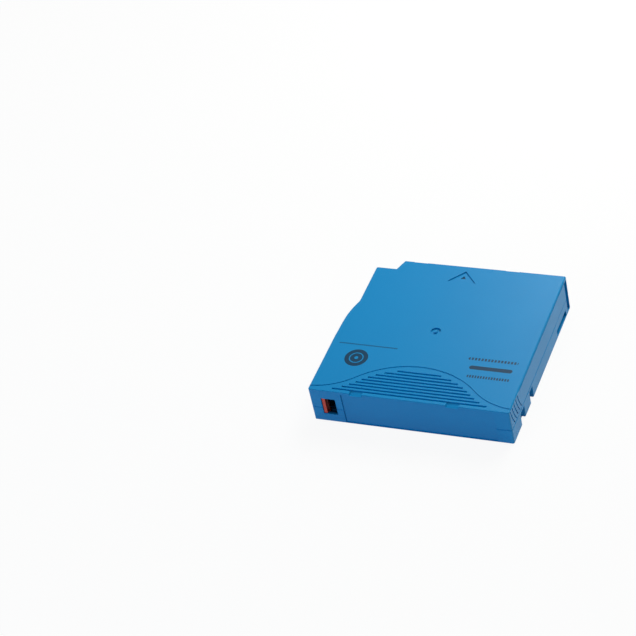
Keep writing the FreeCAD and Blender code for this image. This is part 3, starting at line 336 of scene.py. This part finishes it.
def coil(name, node, along, wire, live_turns, material):
    """A compression spring in the space of a CAD node, along Y or Z, with closed ends."""
    low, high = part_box(node)
    middle = (low + high) / 2
    turn_radius = (high.x - low.x) / 2 - wire / 2
    dead_length = 3 * wire  # two dead turns, and half a wire past the middle at either end
    live_pitch = (high[along] - low[along] - dead_length) / live_turns
    height = low[along] + wire / 2
    parts = []
    for turns, pitch in ((1, wire), (live_turns, live_pitch), (1, wire)):
        start = middle.copy()
        start[along] = height
        bpy.ops.object.select_all(action="DESELECT")
        bpy.ops.mesh.primitive_circle_add(
            vertices=WIRE_SIDES, radius=wire / 2, location=start,
            rotation=(math.pi / 2, 0, 0) if along == Z_AXIS else (0, 0, 0),
        )
        part = bpy.context.object
        bpy.ops.object.transform_apply(location=False, rotation=True, scale=False)
        bpy.ops.object.mode_set(mode="EDIT")
        bpy.ops.mesh.select_all(action="SELECT")
        bpy.ops.transform.translate(value=(turn_radius, 0, 0))
        bpy.ops.object.mode_set(mode="OBJECT")
        wound = part.modifiers.new("winding", "SCREW")
        wound.axis = "Y" if along == Y_AXIS else "Z"
        wound.steps = wound.render_steps = TURN_STEPS
        wound.iterations = turns
        wound.screw_offset = pitch
        bpy.ops.object.modifier_apply(modifier=wound.name)
        bpy.ops.object.transform_apply(location=True, rotation=True, scale=True)
        parts.append(part)
        height += turns * pitch
    bpy.ops.object.select_all(action="DESELECT")
    for part in parts:
        part.select_set(True)
    spring = parts[0]
    bpy.context.view_layer.objects.active = spring
    bpy.ops.object.join()
    bpy.ops.object.mode_set(mode="EDIT")
    bpy.ops.mesh.select_all(action="SELECT")
    bpy.ops.mesh.remove_doubles(threshold=JOIN_SHARE * wire)
    bpy.ops.mesh.select_all(action="DESELECT")
    bpy.ops.mesh.select_non_manifold()
    bpy.ops.mesh.edge_face_add()
    bpy.ops.mesh.select_all(action="SELECT")
    bpy.ops.mesh.normals_make_consistent(inside=False)
    bpy.ops.object.mode_set(mode="OBJECT")
    bpy.ops.object.shade_smooth_by_angle(angle=math.radians(40))
    spring.name = spring.data.name = name
    spring.data.materials.clear()
    spring.data.materials.append(material)
    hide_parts(node)
    return spring


wire_steel = bright_steel("spring_wire", colour(168, 170, 172), roughness=0.28,
                          mark_size=0.12 * MM, stretch=(3.0, 3.0, 1.0))

door_coil = coil("door_return_coil", "door_spring", Y_AXIS, DOOR_WIRE, DOOR_TURNS, wire_steel)
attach(door_coil, "case")
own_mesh(door_coil)

brake_coil = coil("brake_coil", "brake_spring", Z_AXIS, BRAKE_WIRE, BRAKE_TURNS, wire_steel)
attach(brake_coil, "case")
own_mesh(brake_coil)


# ---------------------------------------------------------------- leader pin, its clip, its spring
# The pin is turned from stainless bar and stands in seats of both shells behind the door. A
# moulded clip snaps round it to hold the film, and a bent strip keeps it seated.

turned_pin = bright_steel("turned_pin", colour(205, 205, 202), roughness=0.16,
                          mark_size=0.25 * MM, stretch=(0.4, 0.4, 5.0))
coat_nodes(turned_pin, "leader_pin")
pin_strip = bright_steel("pin_strip", colour(176, 178, 180), roughness=0.30,
                         mark_size=0.4 * MM, stretch=(1.0, 1.0, 0.2))
coat_nodes(pin_strip, "pin_spring")
clip_grey = moulded("clip_grey", colour(98, 98, 102), roughness=0.36, mottle=0.04,
                    grain_depth=0.008 * MM)
coat_nodes(clip_grey, "pin_clip")


# ---------------------------------------------------------------- film
# Half-inch metal-particle film, dark brown and glossy. On the reel its edges show as fine
# rings, where single turns stand a few microns proud; the free end runs flat to the pin.

FILM_DARK, FILM_PALE = colour(28, 22, 20), colour(66, 54, 48)
TURN_LINES, TURN_BANDS = 0.25 * MM, 3.0 * MM  # widths of the rings on the wound film
RUN_LINES, RUN_BANDS = 0.6 * MM, 10 * MM  # widths of the streaks on the free film
FILM_RELIEF = 0.006 * MM


def film(name, wound):
    """The film's finish: rings round the reel's axis where wound, else lines along it."""
    paint = Paint(name)
    place, x, y, z = paint.place()
    if wound:
        low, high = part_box("tape_pack")
        middle = (low + high) / 2
        from_x, from_y = x - middle.x, y - middle.y
        radius = paint.math("SQRT", from_x * from_x + from_y * from_y)
        ring_place = paint.node("ShaderNodeCombineXYZ", {}, {"X": radius})["Vector"]
        lines = paint.noise(ring_place, TURN_LINES, detail=5.0)
        bands = paint.noise(ring_place, TURN_BANDS, detail=1.0)
    else:
        across = paint.node("ShaderNodeCombineXYZ", {}, {"X": z})["Vector"]
        lines = paint.noise(across, RUN_LINES, detail=3.0)
        bands = paint.noise(place, RUN_BANDS, detail=1.0)
    return paint.finish(
        Base_Color=paint.tint(lines * 0.6 + bands * 0.4, FILM_DARK, FILM_PALE),
        Roughness=0.22 + bands * 0.12 + lines * 0.10,
        Normal=paint.relief(lines, FILM_RELIEF),
    )


coat_nodes(film("wound_film", True), "tape_pack")
coat_nodes(film("free_film", False), "leader_tape")


# ---------------------------------------------------------------- reel
# Hub with the lower flange, moulded in glass-filled polycarbonate; the upper flange is
# welded on. Both are ivory and slightly glossy. A metal ring stiffens the hub, and a steel
# plate under the web is what a drive's magnet pulls on.

reel_ivory = moulded("reel_ivory", colour(214, 214, 206), roughness=0.34, mottle=0.10,
                     grain_depth=0.006 * MM, specular=0.5)
coat_nodes(reel_ivory, "reel_hub", "upper_flange")
ring_aluminium = bright_steel("ring_aluminium", colour(202, 204, 208), roughness=0.30,
                              mark_size=0.3 * MM, stretch=(1.0, 1.0, 4.0))
coat_nodes(ring_aluminium, "hub_ring")
plate_steel = bright_steel("plate_steel", colour(150, 152, 154), roughness=0.34,
                           mark_size=0.5 * MM, stretch=(1.0, 1.0, 1.0))
coat_nodes(plate_steel, "clutch_plate")


# ---------------------------------------------------------------- brake and its release
# A toothed button holds the reel still until a spindle pushes the three-legged piece under
# it. Both are acetal, which has a waxy sheen: the button natural white, the spider black.

brake_acetal = moulded("brake_acetal", colour(228, 226, 218), roughness=0.30, mottle=0.08,
                       grain_depth=0.006 * MM)
coat_nodes(brake_acetal, "brake_button")
spider_acetal = moulded("spider_acetal", colour(72, 73, 76), roughness=0.30, mottle=0.03,
                        grain_depth=0.006 * MM)
coat_nodes(spider_acetal, "release_spider")


# ---------------------------------------------------------------- write-protect slider
# Small red tab in rails behind the window of the label face, moulded in a bright styrene and
# left shiny, so that it is seen at once.

SLIDER_RED, SLIDER_RED_PALE = colour(214, 44, 24), colour(222, 54, 34)
# Painted shade: the red is painted nearly black where it lies deep in the write-protect window.
SLIDER_PAINTED_SHADE, SLIDER_PAINTED_SHADE_COVER = colour(40, 4, 4), 0.86


def slider_plastic():
    paint = Paint("slider_red")
    place, x, y, z = paint.place()
    cloud = paint.noise(place, 6 * MM)
    # Painted shade: the slider is painted darker the deeper it lies behind the window.
    window_shade = deep_in_window(paint, x, y, z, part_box("upper_case")[0].y)
    skin = paint.tint(cloud, SLIDER_RED, SLIDER_RED_PALE)
    return paint.finish(
        Base_Color=paint.tint(window_shade * SLIDER_PAINTED_SHADE_COVER, skin, SLIDER_PAINTED_SHADE),
        Roughness=0.26 + cloud * 0.08, Specular_IOR_Level=0.5,
        Normal=paint.relief(paint.noise(place, FINE_GRAIN_SIZE, detail=3.0), 0.004 * MM),
    )


coat_nodes(slider_plastic(), "write_protect_slider")


# ---------------------------------------------------------------- cartridge memory
# A board on edge across the corner between the label face and the right side, with an etched
# coil of eight turns round its rim and a black epoxy chip. A drive reads it without contact.

COIL_TURNS, COIL_PITCH, COIL_MARGIN = 8, 0.34 * MM, 0.35 * MM
COIL_TRACK_SHARE = 0.55  # how much of the pitch is copper
BOARD_GREEN, BOARD_GREEN_PALE = colour(16, 74, 44), colour(22, 88, 52)
BOARD_TRACK = colour(62, 132, 74)
TRACK_HEIGHT = 0.02 * MM


def board():
    paint = Paint("board_green")
    place, x, y, z = paint.place()
    low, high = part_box("memory_board")
    middle = (low + high) / 2
    half_width, half_height = (high.x - low.x) / 2, (high.z - low.z) / 2
    edge = paint.math("MINIMUM", half_width - abs(x - middle.x), half_height - abs(z - middle.z))
    within = (edge > COIL_MARGIN) * (edge < COIL_MARGIN + COIL_TURNS * COIL_PITCH)
    track = paint.math("FRACT", (edge - COIL_MARGIN) / COIL_PITCH) < COIL_TRACK_SHARE
    copper = within * track
    weave = paint.noise(place, 0.5 * MM)
    lacquer = paint.tint(weave, BOARD_GREEN, BOARD_GREEN_PALE)
    return paint.finish(
        Base_Color=paint.tint(copper, lacquer, BOARD_TRACK),
        Roughness=0.30 + weave * 0.10,
        Normal=paint.relief(copper, TRACK_HEIGHT),
    )


coat_nodes(board(), "memory_board")
chip_epoxy = moulded("chip_epoxy", colour(24, 24, 26), roughness=0.48, mottle=0.05,
                     grain_depth=0.010 * MM)
coat_nodes(chip_epoxy, "memory_chip")


# ---------------------------------------------------------------- studio
# A pale paper floor under three soft boxes. A large one behind and above gives the level
# light, a small near one behind lays the sheen on the top plate, and a cool one on the left
# of the label side fills the label face.

FLOOR_SIZE, FLOOR_CELLS = 8.0, 24
PAPER, PAPER_PALE = colour(228, 229, 230), colour(232, 233, 234)
WHITE_SHARE = 0.92  # how much of the floor's look is plain white where it shows or is reflected

bpy.ops.object.select_all(action="DESELECT")
bpy.ops.mesh.primitive_grid_add(x_subdivisions=FLOOR_CELLS, y_subdivisions=FLOOR_CELLS,
                                size=FLOOR_SIZE)
floor = bpy.context.object
floor.name = "floor"
paint = Paint("floor_paper")
rays = paint.node("ShaderNodeLightPath", {}, {})
seen = paint.math("MAXIMUM", rays["Is Camera Ray"],
                  paint.math("MAXIMUM", rays["Is Glossy Ray"], rays["Is Transmission Ray"]))
paper = paint.tint(paint.noise(paint.place()[0], 60 * MM), PAPER, PAPER_PALE)
matt = paint.node("ShaderNodeBsdfDiffuse", {}, {"Color": paper})["BSDF"]
white = paint.node("ShaderNodeEmission", {}, {"Color": (1, 1, 1, 1), "Strength": 1.0})["Emission"]
mixed = paint.node("ShaderNodeMixShader", {},
                   {0: seen * WHITE_SHARE, 1: matt, 2: white})["Shader"]
paint.node("ShaderNodeOutputMaterial", {}, {"Surface": mixed})
floor.data.materials.append(paint.material)

world = bpy.data.worlds.new("studio_air")
scene.world = world
world.use_nodes = True
sky = world.node_tree.nodes["Background"]
sky.inputs["Color"].default_value = (0.95, 0.97, 1.0, 1.0)
sky.inputs["Strength"].default_value = 0.30


def soft_box(name, direction, distance, size, power, tone):
    """A square lamp that looks at the cartridge."""
    towards = Vector(direction).normalized()
    bpy.ops.object.light_add(type="AREA", location=towards * distance)
    lamp = bpy.context.object
    lamp.name = lamp.data.name = name
    lamp.rotation_mode = "QUATERNION"
    lamp.rotation_quaternion = towards.to_track_quat("Z", "Y")
    lamp.data.shape = "SQUARE"
    lamp.data.size = size
    lamp.data.energy = power
    lamp.data.color = tone


soft_box("overhead_box", (0.26, 0.62, 0.74), distance=1.6, size=0.8, power=17.5,
         tone=(1.0, 0.98, 0.88))
soft_box("back_box", (0.02, 0.80, 0.60), distance=0.5, size=0.25, power=0.90,
         tone=(1.0, 0.98, 0.90))
soft_box("front_box", (-0.50, -0.80, 0.34), distance=1.4, size=0.8, power=5.6,
         tone=(0.30, 0.62, 1.0))

AZIMUTH, ELEVATION, ROLL = (math.radians(degrees) for degrees in (29.286, 39.932, -13.604))
CAMERA_DISTANCE = 1.13545
CAMERA_SIDEWAYS, CAMERA_UPWARDS = -0.064774, 0.022821
CAMERA_SENSOR, CAMERA_LENS = 36.0, 125.6
back = Vector((math.sin(AZIMUTH) * math.cos(ELEVATION), -math.cos(AZIMUTH) * math.cos(ELEVATION),
               math.sin(ELEVATION)))
turned = Quaternion(back, ROLL)
sideways = turned @ Vector((math.cos(AZIMUTH), math.sin(AZIMUTH), 0))
upwards = back.cross(sideways)
camera_data = bpy.data.cameras.new("camera")
camera_data.sensor_width = CAMERA_SENSOR
camera_data.lens = CAMERA_LENS
camera_data.clip_start, camera_data.clip_end = 0.05, 20.0
camera = bpy.data.objects.new("camera", camera_data)
scene.collection.objects.link(camera)
place = sideways * CAMERA_SIDEWAYS + upwards * CAMERA_UPWARDS + back * CAMERA_DISTANCE
camera.matrix_world = (Matrix.Translation(place)
                       @ Matrix((sideways, upwards, back)).transposed().to_4x4())
scene.camera = camera
scene.view_settings.view_transform = "Standard"
